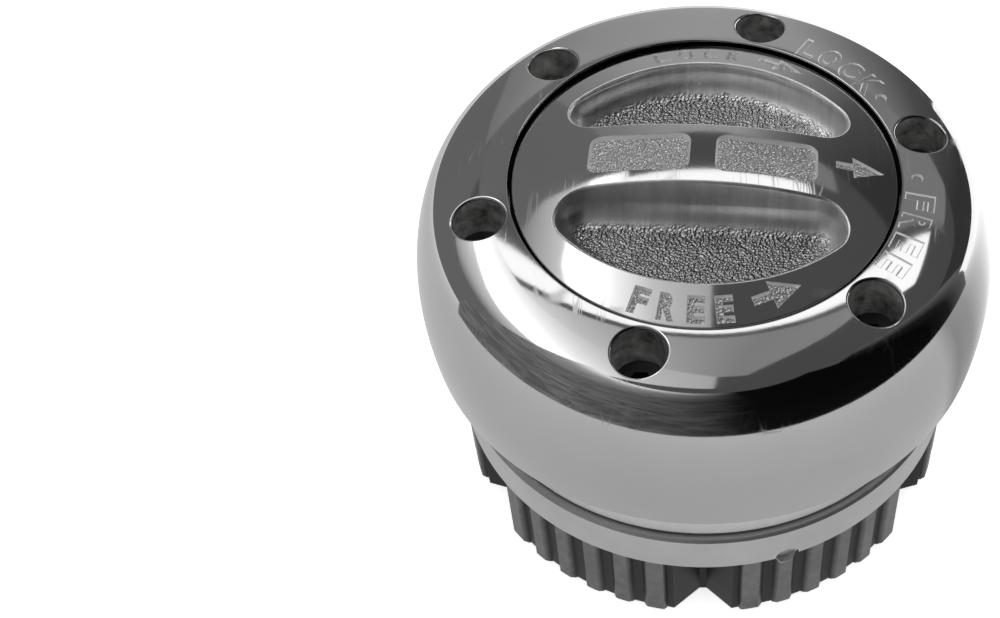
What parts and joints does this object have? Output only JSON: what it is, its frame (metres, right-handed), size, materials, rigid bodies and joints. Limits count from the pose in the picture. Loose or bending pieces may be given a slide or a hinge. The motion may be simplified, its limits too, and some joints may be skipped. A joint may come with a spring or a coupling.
{
  "type": "manual locking hub",
  "caption": "Manual locking hub for a four-wheel-drive front axle: splined body, polished cap with socket screws, and a turn dial that slides a clutch ring onto the axle's drive gear.",
  "frame": {"origin": "centre of the splined end, on the plane it rests on", "axes": "+Z along the hub's axis, out through the dial; +X to the right and -Y towards the viewer of the picture"},
  "size_m": [0.0866, 0.0866, 0.0632],
  "materials": {
    "body_steel": "machined steel, dark and matte on the splines, lighter on the flange",
    "stainless": "polished stainless with fine scratches",
    "stainless_dial": "polished stainless, grained cast floors in the finger pockets",
    "bronze": "turned bronze",
    "gasket": "thin black gasket sheet",
    "seal_rubber": "black nitrile, slightly oily",
    "screw_steel": "black oxide",
    "ground_steel": "ground steel",
    "gear_steel": "machined alloy steel, oiled",
    "spring_steel": "blued spring steel"
  },
  "bodies": {
    "housing": {"hub_body": "body_steel", "body_bushing": "bronze", "gear_upper_washer": "bronze", "cap": "stainless", "cap_gasket": "gasket", "cap_o_ring": "seal_rubber", "cap_screws": "screw_steel", "stop_pin": "ground_steel", "dial_thrust_washer": "bronze"},
    "gear": {"drive_gear": "gear_steel", "gear_lower_washer": "bronze", "gear_retaining_ring": "spring_steel"},
    "dial": {"dial": "stainless_dial", "dial_o_ring": "seal_rubber", "dial_lower_washer": "bronze", "dial_retaining_ring": "spring_steel", "drive_screw": "gear_steel", "centre_screw": "screw_steel"},
    "clutch": {"clutch_ring": "gear_steel", "actuator_nut": "gear_steel", "engagement_spring": "spring_steel", "spring_seat_ring": "ground_steel", "nut_retaining_ring": "spring_steel"}
  },
  "joints": [
    {"name": "gear_spin", "type": "hinge", "parent": "housing", "child": "gear", "pos_m": [0, 0, 0.006], "axis": [0, 0, 1], "continuous": true},
    {"name": "dial_turn", "type": "hinge", "parent": "housing", "child": "dial", "pos_m": [0, 0, 0.05], "axis": [0, 0, 1], "range_deg": [-328, 0]},
    {"name": "clutch_slide", "type": "slide", "parent": "housing", "child": "clutch", "axis": [0, 0, 1], "range_m": [-0.009, 0]}
  ],
  "couplings": [
    {"joint": "clutch_slide", "follows": "dial_turn", "m_per_rad": 0.001572}
  ]
}
